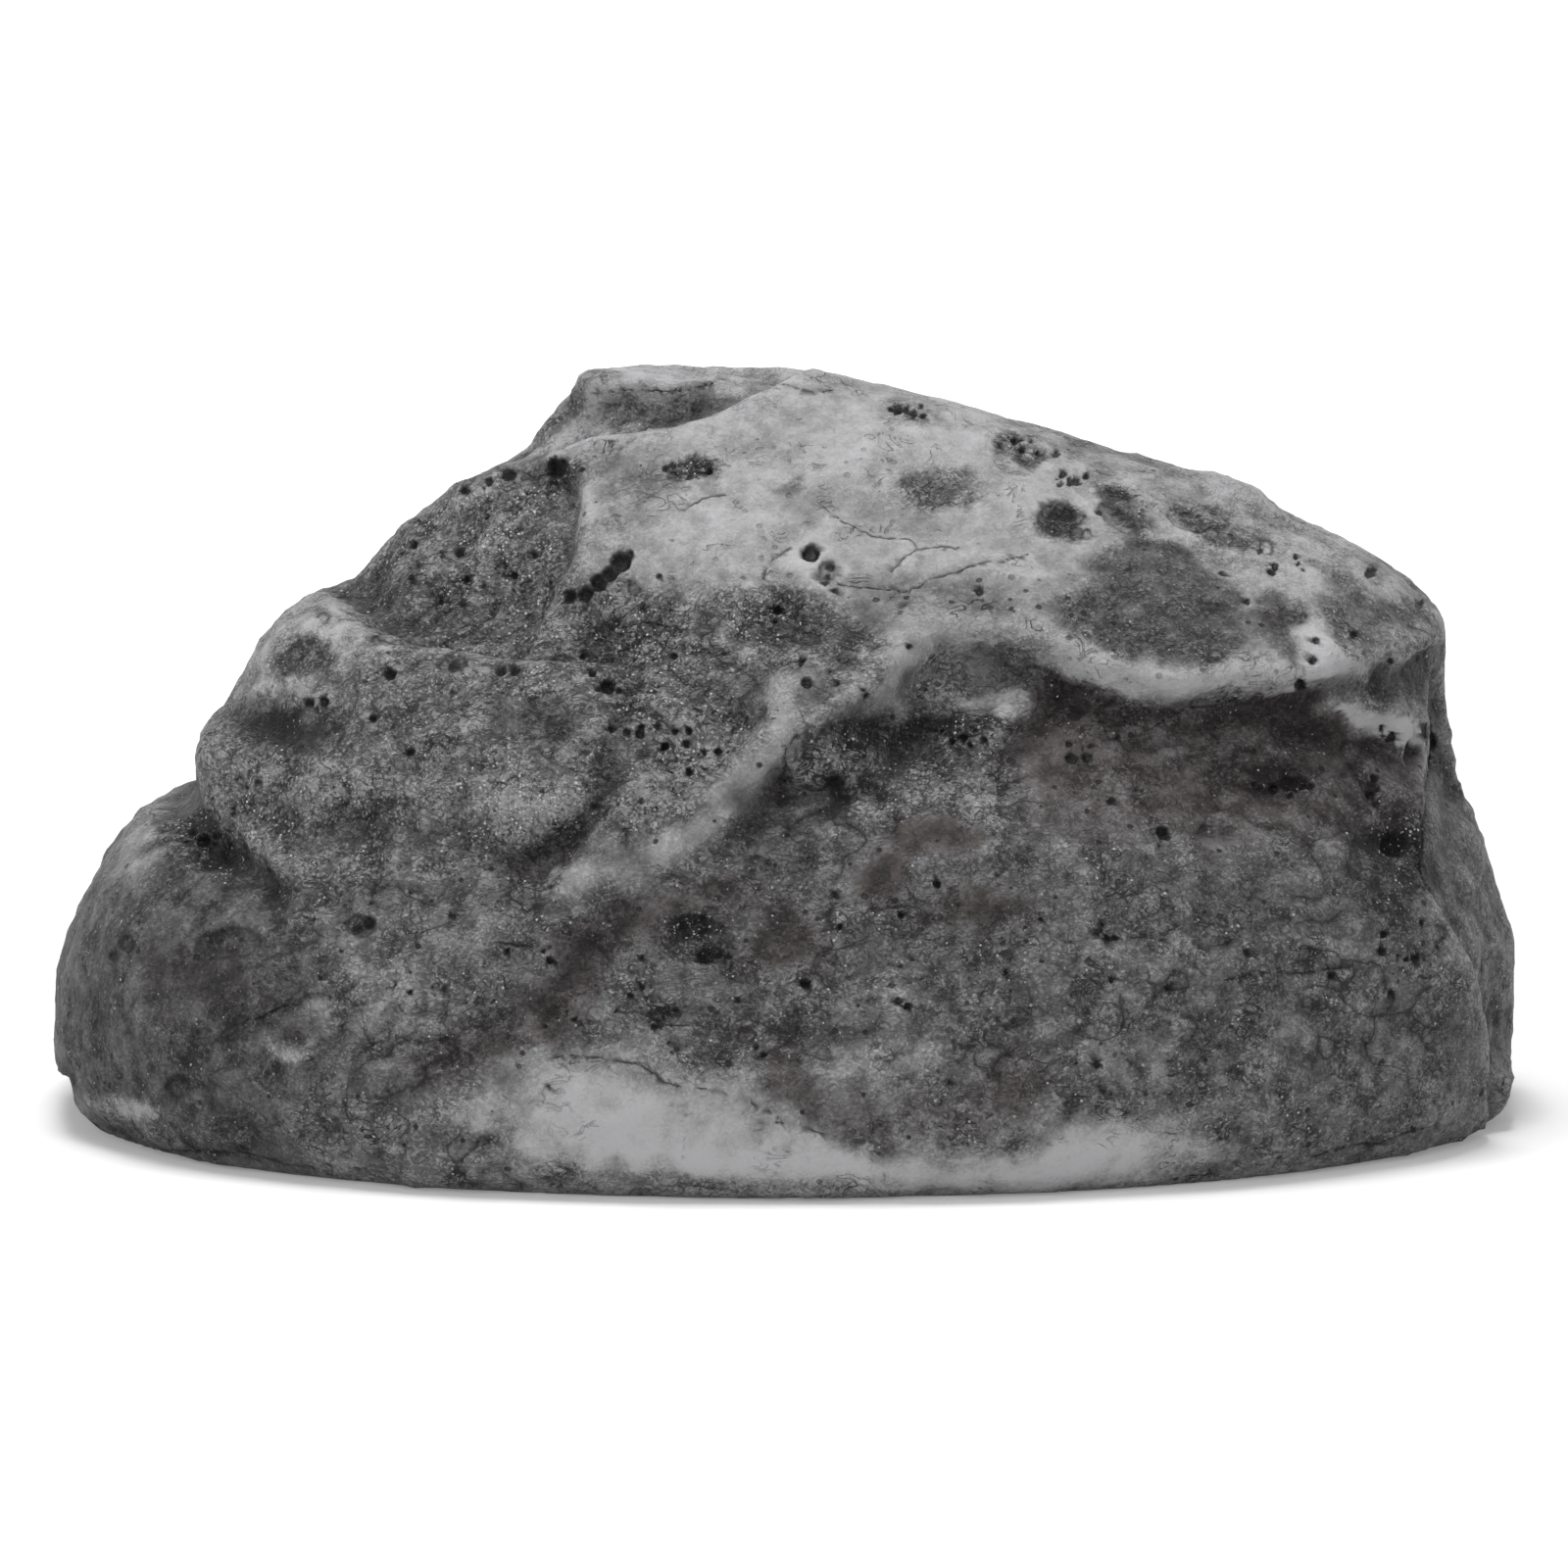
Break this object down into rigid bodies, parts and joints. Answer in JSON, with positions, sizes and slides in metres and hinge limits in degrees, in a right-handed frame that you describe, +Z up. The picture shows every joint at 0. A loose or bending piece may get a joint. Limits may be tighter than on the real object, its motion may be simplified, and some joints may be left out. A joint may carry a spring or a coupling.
{
  "type": "key hider rock",
  "caption": "Hollow cast rock that hides a spare key: a key tub in the flat base, shut by a sliding door in a screwed track frame.",
  "frame": {"origin": "middle of the footprint, on the plane the rock stands on", "axes": "+X along the rock's length, away from the end where the door slides out; -Y is the front that the picture shows; +Z up"},
  "size_m": [0.09, 0.062, 0.046],
  "materials": {
    "rock": "matte",
    "tub": "satin",
    "frame": "satin",
    "door": "matte",
    "gasket": "matte",
    "screw": "satin",
    "plug": "satin",
    "foam": "matte"
  },
  "bodies": {
    "rock_body": {"rock_shell": "rock", "key_tub": "tub", "track_frame": "frame", "flange_gasket": "gasket", "frame_screws": "screw", "screw_plugs": "plug", "foam_pad": "foam"},
    "door": {"slide_door": "door"}
  },
  "joints": [
    {"name": "door_slide", "type": "slide", "parent": "rock_body", "child": "door", "axis": [-1, 0, 0], "range_m": [0, 0.052]}
  ]
}
